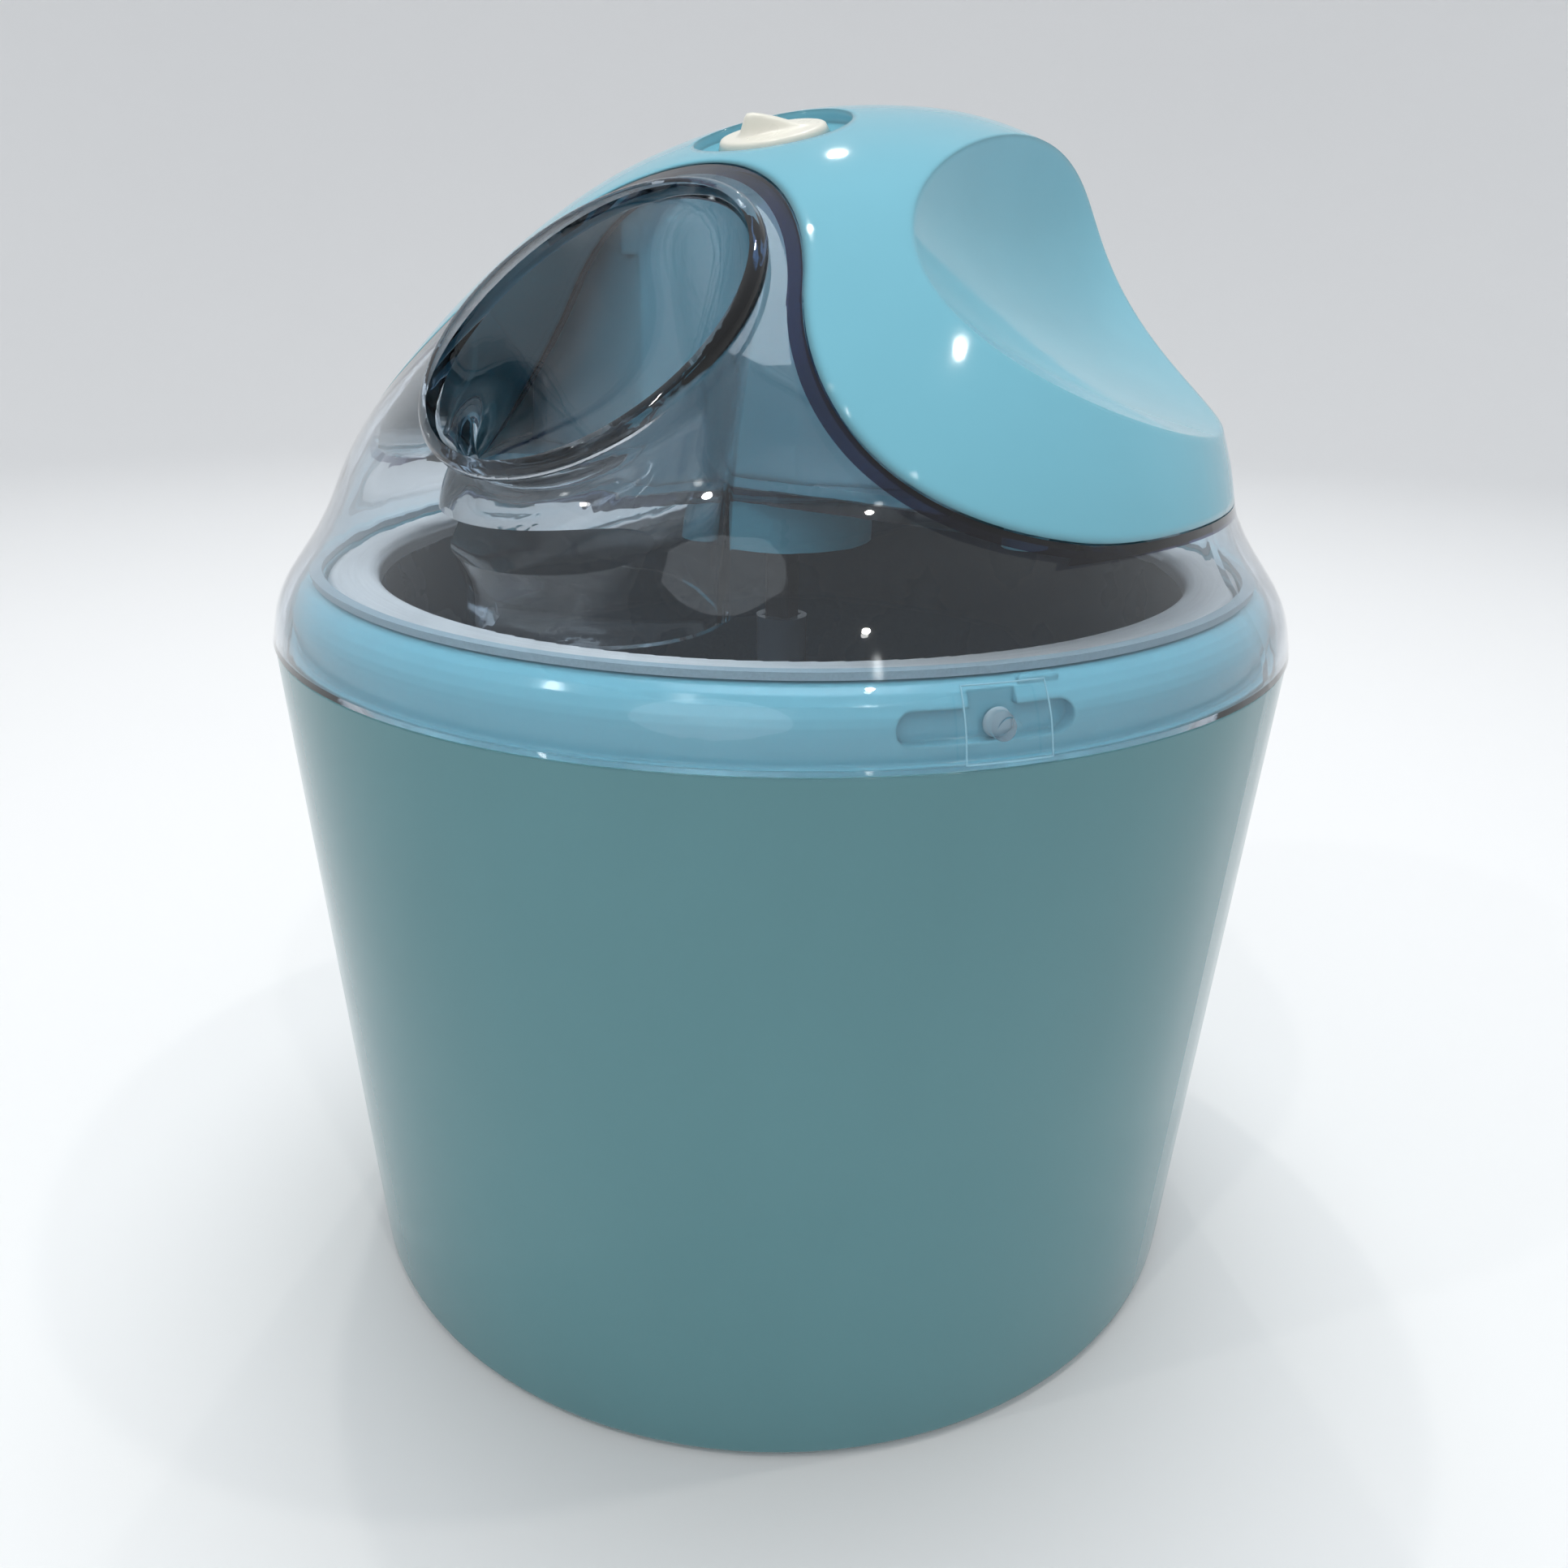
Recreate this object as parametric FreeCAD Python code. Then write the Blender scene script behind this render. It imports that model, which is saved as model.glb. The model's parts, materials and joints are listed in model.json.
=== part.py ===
"""Ice cream maker: freezer bowl in a tapered bucket, clear bayonet lid with feed chute, and a
lift-off motor unit that turns the paddle.

Millimetres. Z is up from the table, the origin is under the middle of the bucket, the chute faces -Y.
Heights named *_H are measured from the seam between the bucket and the lid.
"""
import FreeCAD
import Part
import math
import os

V = FreeCAD.Vector
UP = V(0, 0, 1)

# ---------------------------------------------------------------- driving dimensions
SEAM = 161.5              # height of the bucket's upper edge

BUCKET_TOP_R = 115.7
BUCKET_BOTTOM_R = 109.2
BUCKET_WALL = 2.5
BUCKET_BASE_Z = 1.0
BUCKET_EDGE_R = 2.5
FOOT_R = 8.0
FOOT_CIRCLE_R = 92.0

COLLAR_R = 111.0
COLLAR_BORE_R = 103.6
COLLAR_LEDGE_R = 101.9
COLLAR_TOP_H = 12.4
COLLAR_LEDGE_H = 7.8

SLOT_COUNT = 3
SLOT_FLOOR_R = 108.2
SLOT_LOW_H = 2.7
SLOT_HIGH_H = 8.3
SLOT_LEFT = 44.7          # azimuths, degrees from the front towards +X
SLOT_GAP_LEFT = 51.2
SLOT_GAP_RIGHT = 55.7
SLOT_RIGHT = 61.4
PEG_AZIMUTH = 54.0
PEG_R = 2.3
PEG_H = 5.5
PEG_TIP_R = 108.7
TAB_R = 108.0

RIM_OUT_R = 103.2
RIM_IN_R = 92.6
RIM_LOW_H = 8.0
RIM_TOP_H = 12.4
BOWL_FLOOR_Z = 34.0
BOWL_FLOOR_R = 84.6
BOWL_SHEET = 1.5
BOWL_CORNER_R = 12.0
BOWL_SHELL_R = 101.3
BOWL_SHELL_FLOOR_R = 96.0
BOWL_SHELL_WALL = 2.0
BOWL_SHELL_BASE_Z = 22.0
PIVOT_R = 3.0

WALL = 2.4                # lid and motor cover
GAP = 0.3                 # between the lid and the motor unit
NECK_H = 25.3             # the dome leans back above this height
LEAN_TOP = 37.1           # how far back its top lies
LEAN_POWER = 1.432
TOP_H = 107.8
DOME = [(116.0, 0.0), (114.6, 5.75), (111.7, 11.5), (107.3, 17.25), (103.3, 23.0), (100.9, 27.6),
        (98.6, 34.5), (93.4, 46.0), (86.6, 57.5), (78.6, 69.0), (68.9, 80.5), (55.8, 92.0),
        (43.2, 99.0), (29.0, 104.3), (15.0, 107.0), (4.0, TOP_H)]     # radius, height
SPLIT_H = 30.0            # level edge of the motor cover
BELL_ARCS = [(46.0, 57.0), (-99.0, 18.5), (-25.0, 0.0)]   # radius (minus: hollow) and slope where it ends
BACK_Y = -25.0            # rear face of the lid's upright partition
DECK = 2.5
DECK_HOLE_R = 22.0

CHUTE_Y = -64.0
CHUTE_R = 26.0
CHUTE_LOW_H = 9.0
CHUTE_WALL = 2.0
MOUTH_MID = (0.0, -63.5, 64.0)
MOUTH_TILT = 40.3
MOUTH_HALF_WIDTH = 33.6
MOUTH_HALF_LENGTH = 37.2
LIP_R = 2.2
POST_R = 3.6
POST_XY = (22.5, -56.0)

SCOOP_MID = (181.0, 122.0, 90.0)
SCOOP_HALF = (130.0, 246.0, 61.0)
SCOOP_TURN = -16.6

KNOB_MID = (0.0, -6.3, 100.86)   # on the dome, above the seam
KNOB_TILT = 17.0
KNOB_R = 11.8
DISH_R = 16.8
GRIP_TURN = 35.0
GRIP_HALF = 2.6
DISH_DEPTH = 3.2

DRUM_R = 21.0
DRUM_LOW_H = 15.5
WALL_HALF = 20.5          # half width of the motor cover's front wall
BROW_HALF = 26.0          # the cover is solid over the top of the split
BROW_LOW_H = 76.0
GLAND_H = 46.0
GLAND_R = 6.0
CORD_R = 3.5
GLAND_FACE_Y = 100.6

MODULE = 1.0
PRESSURE = 25.0
ADDENDUM = 0.9
BACKLASH = 0.16
PINION_TEETH = 12
WHEEL_TEETH = 40
CENTRES = MODULE * (PINION_TEETH + WHEEL_TEETH) / 2.0
IDLER_ANGLE = 30.0
ROTOR_ANGLE = 150.0
IDLER_XY = (CENTRES * math.cos(math.radians(IDLER_ANGLE)), CENTRES * math.sin(math.radians(IDLER_ANGLE)))
ROTOR_XY = (0.0, CENTRES)
LOW_GEARS_H = 34.5
HIGH_GEARS_H = 42.0
GEAR_FACE = 5.5
PLATE_H = 49.0
PLATE = 1.5
GEAR_POSTS = [(-27.0, -8.0), (-25.0, 46.0), (30.0, -12.0), (33.0, 46.0)]
MOTOR_R = 24.0
MOTOR_HEIGHT = 29.0
SHAFT_R = 4.0
DRIVE = 6.8               # across the flats of the square drive
COVER_SCREWS = [(-62.0, 10.0), (62.0, 10.0), (-42.0, 66.0), (42.0, 66.0)]
PEG_BOSSES = [(-70.0, -18.0), (70.0, -18.0)]

PADDLE_TOP_Z = 157.5
PADDLE_LOW_Z = 37.0
PADDLE_ARM_TOP_Z = 104.0
PADDLE_R = 78.0
HUB_R = 6.2


# ---------------------------------------------------------------- helpers
def save(name, shape):
    shape.exportStep("parts/" + name + ".step")


def fuse(shapes):
    whole = shapes[0]
    for shape in shapes[1:]:
        whole = whole.fuse(shape)
    return whole.removeSplitter()


def cylinder(radius, low, high, x=0.0, y=0.0):
    return Part.makeCylinder(radius, high - low, V(x, y, low))


def tube(outer, inner, low, high, x=0.0, y=0.0):
    return cylinder(outer, low, high, x, y).cut(cylinder(inner, low - 1.0, high + 1.0, x, y))


def block(x0, x1, y0, y1, z0, z1):
    return Part.makeBox(x1 - x0, y1 - y0, z1 - z0, V(x0, y0, z0))


def spin(edges):
    """Solid of revolution about Z of a closed outline of edges or (r, z) corners."""
    if isinstance(edges[0], tuple):
        corners = [V(r, 0, z) for r, z in edges]
        wire = Part.makePolygon(corners + [corners[0]])
    else:
        wire = Part.Wire(Part.__sortEdges__(edges))
    return Part.Face(wire).revolve(V(0, 0, 0), UP, 360)


def at_angle(shape, azimuth):
    """Turned about Z, so that what faced the front faces the azimuth."""
    turned = shape.copy()
    turned.rotate(V(0, 0, 0), UP, azimuth)
    return turned


def line(a, b):
    return Part.LineSegment(V(a[0], 0, a[1]), V(b[0], 0, b[1])).toShape()


def inset_points(points, inset):
    """Points moved inwards along the curve's normal."""
    moved = []
    last = len(points) - 1
    for i, (r, z) in enumerate(points):
        before = points[max(i - 1, 0)]
        after = points[min(i + 1, last)]
        along = V(after[0] - before[0], 0, after[1] - before[1])
        along.normalize()
        if i == 0:
            along = V(0, 0, 1)
        if i == last:
            along = V(-1, 0, 0)
        moved.append((r - inset * along.z, z + inset * along.x))
    return moved


def lean(height):
    """How far back the dome's level sections are centred."""
    if height <= NECK_H:
        return 0.0
    return LEAN_TOP * ((height - NECK_H) / (TOP_H - NECK_H)) ** LEAN_POWER


def dome_solid(inset, low):
    """The lid and motor cover's common outer form, moved inwards by an inset, down to a height."""
    rings = []
    for (r, z), (_, height) in zip(inset_points(DOME, inset), DOME):
        rings.append(Part.Wire([Part.Circle(V(0, lean(height), SEAM + z), UP, r).toShape()]))
    dome = Part.makeLoft(rings, True, False)
    if low < 0:
        dome = dome.fuse(cylinder(DOME[0][0] - inset, SEAM + low, SEAM))
    return dome


def bell_prism(rise, y0, y1, low):
    """The space under the bell-shaped split, its curve raised by rise, from y0 to y1 and above low."""
    x = 0.0
    z = 0.0
    slope = 0.0
    arcs = []
    for radius, end_slope in BELL_ARCS:
        middle = (slope + math.radians(end_slope)) / 2.0
        points = [(x, z)]
        for angle in (middle, math.radians(end_slope)):
            dx = radius * (math.sin(angle) - math.sin(slope))
            dz = radius * (math.cos(angle) - math.cos(slope))
            points.append((x + dx, z + dz))
        arcs.append(points)
        x, z = points[-1]
        slope = math.radians(end_slope)
    lift = SEAM + SPLIT_H + rise - z
    edges = []
    for side in (-1, 1):
        for points in arcs:
            bent = [V(side * px, 0, pz + lift) for px, pz in points]
            edges.append(Part.Arc(*bent).toShape())
        edges.append(line((side * x, z + lift), (side * 130.0, z + lift)))
        edges.append(line((side * 130.0, z + lift), (side * 130.0, low)))
    edges.append(line((-130.0, low), (130.0, low)))
    face = Part.Face(Part.Wire(Part.__sortEdges__(edges)))
    face.translate(V(0, y0, 0))
    return face.extrude(V(0, y1 - y0, 0))


def gear(teeth, low, high, turn, x, y, bore):
    """Involute spur gear with its tooth 0 at the angle turn."""
    pitch_r = MODULE * teeth / 2.0
    base_r = pitch_r * math.cos(math.radians(PRESSURE))
    tip_r = pitch_r + ADDENDUM * MODULE
    root_r = pitch_r - 1.15 * MODULE
    inv_pitch = math.tan(math.radians(PRESSURE)) - math.radians(PRESSURE)
    half = math.pi / 2 / teeth - BACKLASH / 2 / pitch_r + inv_pitch
    start_r = max(base_r, root_r)
    flank = [(root_r, half)] if base_r > root_r else []
    for step in range(5):
        r = start_r + (tip_r - start_r) * step / 4.0
        roll = math.acos(base_r / r)
        flank.append((r, half - math.tan(roll) + roll))
    corners = []
    for tooth in range(teeth):
        middle = math.radians(turn) + 2 * math.pi * tooth / teeth
        for r, angle in flank:
            corners.append(V(r * math.cos(middle - angle), r * math.sin(middle - angle), low))
        for r, angle in reversed(flank):
            corners.append(V(r * math.cos(middle + angle), r * math.sin(middle + angle), low))
    wire = Part.makePolygon(corners + [corners[0]])
    wheel = Part.Face(wire).extrude(V(0, 0, high - low))
    wheel.translate(V(x, y, 0))
    return wheel.cut(cylinder(bore, low - 1, high + 1, x, y))


def screw(x, y, head_z, down, length, head_r=3.0, shank_r=1.5):
    """Pan-head screw; down is 1 when the head is above the shank, -1 when below."""
    if down > 0:
        head = cylinder(head_r, head_z, head_z + 2.0, x, y)
        shank = cylinder(shank_r, head_z - length, head_z, x, y)
        slot = block(x - head_r, x + head_r, y - 0.4, y + 0.4, head_z + 1.2, head_z + 3.0)
    else:
        head = cylinder(head_r, head_z - 2.0, head_z, x, y)
        shank = cylinder(shank_r, head_z, head_z + length, x, y)
        slot = block(x - head_r, x + head_r, y - 0.4, y + 0.4, head_z - 3.0, head_z - 1.2)
    return head.fuse(shank).cut(slot)


os.makedirs("parts", exist_ok=True)

# ---------------------------------------------------------------- bucket, collar and feet
taper = (BUCKET_TOP_R - BUCKET_BOTTOM_R) / SEAM
bucket_top = SEAM - GAP
low_r = BUCKET_BOTTOM_R + taper * BUCKET_BASE_Z
outside = Part.makeCone(low_r, BUCKET_TOP_R, bucket_top - BUCKET_BASE_Z, V(0, 0, BUCKET_BASE_Z))
low_edges = [e for e in outside.Edges if abs(e.BoundBox.ZMax - BUCKET_BASE_Z) < 0.1]
outside = outside.makeFillet(BUCKET_EDGE_R, low_edges)
inside_low = BUCKET_BASE_Z + BUCKET_WALL
inside = Part.makeCone(
    BUCKET_BOTTOM_R - BUCKET_WALL, BUCKET_TOP_R - BUCKET_WALL, SEAM - inside_low, V(0, 0, inside_low)
)
inside = inside.makeFillet(
    1.0, [e for e in inside.Edges if abs(e.BoundBox.ZMax - inside_low) < 0.1]
)
bucket = outside.cut(inside)
feet = []
for k in range(4):
    angle = math.radians(45 + 90 * k)
    x = FOOT_CIRCLE_R * math.cos(angle)
    y = FOOT_CIRCLE_R * math.sin(angle)
    bucket = bucket.cut(cylinder(3.05, 0, 10, x, y))
    pad = cylinder(FOOT_R, 0, BUCKET_BASE_Z, x, y)
    stem = cylinder(3.0, 0, inside_low, x, y)
    head = cylinder(4.6, inside_low, inside_low + 1.5, x, y)
    feet.append(fuse([pad, stem, head]))
save("outer_bucket", bucket)
save("rubber_feet", Part.makeCompound(feet))

collar = spin([
    (COLLAR_BORE_R, SEAM + COLLAR_TOP_H - 0.3),
    (COLLAR_BORE_R + 0.3, SEAM + COLLAR_TOP_H),
    (105.2, SEAM + 12.25),
    (106.8, SEAM + 11.75),
    (108.3, SEAM + 10.75),
    (109.5, SEAM + 9.3),
    (110.4, SEAM + 7.6),
    (110.85, SEAM + 6.2),
    (COLLAR_R, SEAM + 4.8),
    (COLLAR_R, SEAM - GAP),
    (112.4, SEAM - GAP),
    (112.4, SEAM - 12.0),
    (109.9, SEAM - 12.0),
    (109.9, SEAM - 3.0),
    (COLLAR_LEDGE_R, SEAM - 3.0),
    (COLLAR_LEDGE_R, SEAM + COLLAR_LEDGE_H),
    (COLLAR_BORE_R, SEAM + COLLAR_LEDGE_H),
])


def sector(inner, outer, from_angle, to_angle, low, high):
    """Part of a ring between two azimuths."""
    ring = tube(outer, inner, low, high)
    reach = outer * 2
    corners = [V(0, 0, low)]
    for angle in (from_angle, (from_angle + to_angle) / 2.0, to_angle):
        a = math.radians(angle)
        corners.append(V(reach * math.sin(a), -reach * math.cos(a), low))
    wedge = Part.Face(Part.makePolygon(corners + [corners[0]])).extrude(V(0, 0, high - low))
    return ring.common(wedge)


def radial_rod(radius, azimuth, height, from_r, to_r):
    """Round rod pointing away from the axis."""
    a = math.radians(azimuth)
    out = V(math.sin(a), -math.cos(a), 0)
    return Part.makeCylinder(radius, to_r - from_r, out * from_r + V(0, 0, SEAM + height), out)


arm_half = (SLOT_HIGH_H - SLOT_LOW_H) / 2.0
arm_mid = (SLOT_HIGH_H + SLOT_LOW_H) / 2.0
end_step = math.degrees(arm_half / COLLAR_R)
arm_low = SEAM + SLOT_LOW_H
arm_high = SEAM + SLOT_HIGH_H
slot_arm = sector(SLOT_FLOOR_R, 114, SLOT_LEFT + end_step, SLOT_RIGHT - end_step, arm_low, arm_high)
slot_mouth = sector(SLOT_FLOOR_R, 114, SLOT_GAP_LEFT, SLOT_GAP_RIGHT, SEAM + arm_mid, SEAM + 16)
slot_left = radial_rod(arm_half, SLOT_LEFT + end_step, arm_mid, SLOT_FLOOR_R, 114)
slot_right = radial_rod(arm_half, SLOT_RIGHT - end_step, arm_mid, SLOT_FLOOR_R, 114)
for k in range(SLOT_COUNT):
    for tool in (slot_arm, slot_mouth, slot_left, slot_right):
        collar = collar.cut(at_angle(tool, 360.0 / SLOT_COUNT * k))
tab = sector(104.2, TAB_R, SLOT_GAP_RIGHT + 0.5, SLOT_RIGHT - 1.0, SEAM + SLOT_HIGH_H + 0.3, SEAM + 12.2)
tab = tab.makeFillet(0.6, [e for e in tab.Edges if e.BoundBox.ZMin > SEAM + 12.1])
for k in range(SLOT_COUNT):
    collar = collar.fuse(at_angle(tab, 360.0 / SLOT_COUNT * k))
save("collar_ring", collar)

# ---------------------------------------------------------------- freezer bowl
rim = tube(RIM_OUT_R, RIM_IN_R, SEAM + RIM_LOW_H, SEAM + RIM_TOP_H)
rim = rim.makeFillet(2.15, [e for e in rim.Edges if abs(e.BoundBox.ZMin - SEAM - RIM_TOP_H) < 0.01])
save("bowl_rim", rim)


def cup(top_r, low_r, low, high, corner):
    """Tapered round solid with a rounded lower edge."""
    solid = Part.makeCone(low_r, top_r, high - low, V(0, 0, low))
    return solid.makeFillet(corner, [e for e in solid.Edges if abs(e.BoundBox.ZMax - low) < 0.1])


bowl_top = SEAM + RIM_LOW_H
sheet_out = cup(
    RIM_IN_R + BOWL_SHEET, BOWL_FLOOR_R + BOWL_SHEET, BOWL_FLOOR_Z - BOWL_SHEET, bowl_top, BOWL_CORNER_R + 1.5
)
sheet_in = cup(RIM_IN_R, BOWL_FLOOR_R, BOWL_FLOOR_Z, bowl_top + 1e-3, BOWL_CORNER_R)
pivot = cylinder(PIVOT_R, BOWL_FLOOR_Z - 1.0, BOWL_FLOOR_Z + 6.0)
pivot = pivot.makeFillet(1.2, [e for e in pivot.Edges if e.BoundBox.ZMin > BOWL_FLOOR_Z + 5])
save("bowl_inner", fuse([sheet_out.cut(sheet_in), pivot]))

shell_out = cup(BOWL_SHELL_R, BOWL_SHELL_FLOOR_R, BOWL_SHELL_BASE_Z, bowl_top, 10.0)
shell_in_low = BOWL_SHELL_BASE_Z + BOWL_SHELL_WALL
shell_in_r = BOWL_SHELL_R - BOWL_SHELL_WALL
shell_in_low_r = BOWL_SHELL_FLOOR_R - BOWL_SHELL_WALL
shell_in = cup(shell_in_r, shell_in_low_r, shell_in_low, bowl_top + 1e-3, 8.0)
plug_x = 44.0
shell = shell_out.cut(shell_in).cut(cylinder(6.0, 0, 40, plug_x, 0))
save("bowl_outer", shell)
plug = cylinder(5.97, BOWL_SHELL_BASE_Z - 0.0, shell_in_low, plug_x, 0)
plug_cap = cylinder(8.0, shell_in_low, shell_in_low + 1.6, plug_x, 0)
plug = plug.fuse(plug_cap).cut(block(plug_x - 4, plug_x + 4, -0.6, 0.6, 20, BOWL_SHELL_BASE_Z + 0.9))
save("bowl_plug", plug)
gasket_low = SEAM + RIM_LOW_H - 4.0
gasket_span = tube(120, 10, gasket_low, bowl_top)
gasket_body = cup(shell_in_r - 0.05, shell_in_low_r - 0.05, shell_in_low, bowl_top, 8.0)
gasket_hole = cup(
    RIM_IN_R + BOWL_SHEET + 0.05, BOWL_FLOOR_R + BOWL_SHEET + 0.05, BOWL_FLOOR_Z - 2, bowl_top + 1e-3, 12.0
)
save("bowl_gasket", gasket_body.cut(gasket_hole).common(gasket_span))
gel_low = shell_in_low + 2.2
gel_body = cup(98.0, 92.8, gel_low, gasket_low - 9.0, 8.0)
save("coolant_gel", gel_body.cut(cup(94.9, 86.5, BOWL_FLOOR_Z - 2.0, gasket_low + 4, 12.0)))

# ---------------------------------------------------------------- lid
outer = dome_solid(0.0, 0.0)
inner = dome_solid(WALL, -6.0)
split_z = SEAM + SPLIT_H
lid_zone = block(-130, 130, -130, 130, SEAM - 5, split_z)
lid_zone = lid_zone.fuse(bell_prism(0.0, -130.0, BACK_Y, SEAM + 10.0))
under_deck = block(-130, 130, -130, 130, SEAM - 8, split_z - DECK)
under_deck = under_deck.fuse(bell_prism(-2.0, -131.0, BACK_Y - 2.0, SEAM + 8.0))
lid = outer.common(lid_zone).cut(inner.common(under_deck))
lid = lid.cut(cylinder(DECK_HOLE_R, SEAM, SEAM + 60))
for x, y in PEG_BOSSES:
    lid = lid.cut(cylinder(5.2, SEAM, SEAM + 60, x, y))

tilt = FreeCAD.Rotation(V(1, 0, 0), MOUTH_TILT)
mouth_mid = V(*MOUTH_MID) + V(0, 0, SEAM)
mouth_normal = tilt.multVec(UP)


def oval(middle, half_width, half_length, rotation):
    """Ellipse that starts at its rearmost point, so that a loft between two of them doesn't twist."""
    along = rotation.multVec(V(0, 1, 0))
    ellipse = Part.Ellipse(middle + along * half_length, middle + V(half_width, 0, 0), middle)
    return Part.Wire([ellipse.toShape()])


def mouth_ring(down, half_width, half_length):
    """Ellipse parallel to the chute's slanted mouth, below it by down."""
    return oval(mouth_mid - mouth_normal * down, half_width, half_length, tilt)


def chute_solid(inset, low, over):
    """Round tube that widens into the slanted oval mouth."""
    level = FreeCAD.Rotation()
    half = FreeCAD.Rotation(V(1, 0, 0), MOUTH_TILT / 2)
    radius = CHUTE_R - inset
    rings = [oval(V(0, CHUTE_Y, SEAM + low), radius, radius + 1e-3, level)]
    rings.append(oval(V(0, CHUTE_Y, SEAM + 20.0), radius + 0.5, radius + 0.501, level))
    rings.append(oval(V(0, CHUTE_Y + 0.5, SEAM + 42.0), radius + 2.4, radius + 4.5, half))
    rings.append(mouth_ring(5.0, MOUTH_HALF_WIDTH - 2.0 - inset, MOUTH_HALF_LENGTH - 2.0 - inset))
    rings.append(mouth_ring(0.0, MOUTH_HALF_WIDTH - inset, MOUTH_HALF_LENGTH - inset))
    if over > 0:
        rings.append(mouth_ring(-over, MOUTH_HALF_WIDTH - inset, MOUTH_HALF_LENGTH - inset))
    return Part.makeLoft(rings, True, False)


chute_out = chute_solid(0.0, CHUTE_LOW_H, 0.0)
chute_in = chute_solid(CHUTE_WALL, CHUTE_LOW_H - 1.0, 8.0)
lip_path = mouth_ring(0.0, MOUTH_HALF_WIDTH - CHUTE_WALL / 2.0, MOUTH_HALF_LENGTH - CHUTE_WALL / 2.0)
lip_start = mouth_mid + tilt.multVec(V(0, 1, 0)) * (MOUTH_HALF_LENGTH - CHUTE_WALL / 2.0)
lip_circle = Part.Wire([Part.Circle(lip_start, V(1, 0, 0), LIP_R).toShape()])
lip = lip_path.makePipeShell([lip_circle], True, True)
post = cylinder(POST_R, SEAM + CHUTE_LOW_H + 1.0, SEAM + 52, *POST_XY)
post = post.cut(cylinder(POST_R - 1.2, SEAM, SEAM + 48, *POST_XY))
pegs = []
for k in range(SLOT_COUNT):
    azimuth = PEG_AZIMUTH + 360.0 / SLOT_COUNT * k
    pegs.append(radial_rod(PEG_R, azimuth, PEG_H, PEG_TIP_R, 114.5))
lid = lid.fuse(chute_out).fuse(post).fuse(lip).cut(chute_in)
for peg in pegs:
    lid = lid.fuse(peg)
save("lid_shell", lid)

seal = tube(106.0, 103.8, SEAM + 12.6, SEAM + 14.0)
save("lid_seal", seal)

# ---------------------------------------------------------------- motor cover
knob_spot = FreeCAD.Placement(V(*KNOB_MID) + V(0, 0, SEAM), FreeCAD.Rotation(V(1, 0, 0), KNOB_TILT))


def on_knob(shape):
    placed = shape.copy()
    placed.Placement = knob_spot.multiply(placed.Placement)
    return placed


def scoop(grow):
    """Finger recesses: an ellipsoid on each side."""
    matrix = FreeCAD.Matrix()
    matrix.A11 = SCOOP_HALF[0] + grow
    matrix.A22 = SCOOP_HALF[1] + grow
    matrix.A33 = SCOOP_HALF[2] + grow
    right = Part.makeSphere(1.0).transformGeometry(matrix)
    right.rotate(V(0, 0, 0), UP, SCOOP_TURN)
    right.translate(V(*SCOOP_MID) + V(0, 0, SEAM))
    return [right, right.mirror(V(0, 0, 0), V(1, 0, 0))]


dish = on_knob(cylinder(DISH_R, -DISH_DEPTH, 20.0))
dish_back = on_knob(cylinder(DISH_R + WALL, -DISH_DEPTH - WALL, 20.0))
cover_out = outer.cut(dish)
cover_in = inner.cut(dish_back)
for tool in scoop(0.0):
    cover_out = cover_out.cut(tool)
for tool in scoop(WALL):
    cover_in = cover_in.cut(tool)
front_wall_y = BACK_Y + GAP
motor_zone = block(-130, 130, -130, 130, split_z + GAP, SEAM + 130)
motor_zone = motor_zone.cut(bell_prism(GAP, -130.0, front_wall_y, SEAM + 8.0))
hollow = block(-130, 130, -130, 130, SEAM + 20.0, SEAM + 130)
hollow = hollow.cut(bell_prism(GAP + 2.0, -131.0, front_wall_y - 1e-3, SEAM + 8.0))
wall_low = SEAM + SPLIT_H + 2.4
side_walls = [block(-WALL_HALF, WALL_HALF, front_wall_y, front_wall_y + 2.0, wall_low, SEAM + 130)]
for side in (-1, 1):
    corners = [
        V(side * (WALL_HALF - 2.0), front_wall_y, split_z + 2.4),
        V(side * WALL_HALF, front_wall_y, split_z + 2.4),
        V(side * 82.0, -1.0, split_z + 2.4),
        V(side * 82.0, 1.0, split_z + 2.4),
        V(side * (WALL_HALF - 2.0), front_wall_y + 2.2, split_z + 2.4),
    ]
    side_walls.append(Part.Face(Part.makePolygon(corners + [corners[0]])).extrude(V(0, 0, 110)))
side_walls.append(block(-BROW_HALF, BROW_HALF, -131, front_wall_y + 1.2, SEAM + BROW_LOW_H, SEAM + 130))
for wall in side_walls:
    hollow = hollow.cut(wall)
for x, y in COVER_SCREWS:
    hollow = hollow.cut(cylinder(4.5, split_z + 2.4, SEAM + 130, x, y))
cover = cover_out.common(motor_zone).cut(cover_in.common(hollow))
for x, y in COVER_SCREWS:
    cover = cover.cut(cylinder(1.5, SEAM, split_z + 2.4 + 9.0, x, y))
cover = cover.cut(on_knob(cylinder(3.4, -20, 10)))
gland_hole = Part.makeCylinder(GLAND_R, 60, V(0, 70, SEAM + GLAND_H), V(0, 1, 0))
gland_seat = Part.makeCylinder(GLAND_R + 2.05, 30, V(0, GLAND_FACE_Y - 2.2, SEAM + GLAND_H), V(0, 1, 0))
cover = cover.cut(gland_hole).cut(gland_seat)
save("motor_cover", cover)

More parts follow.
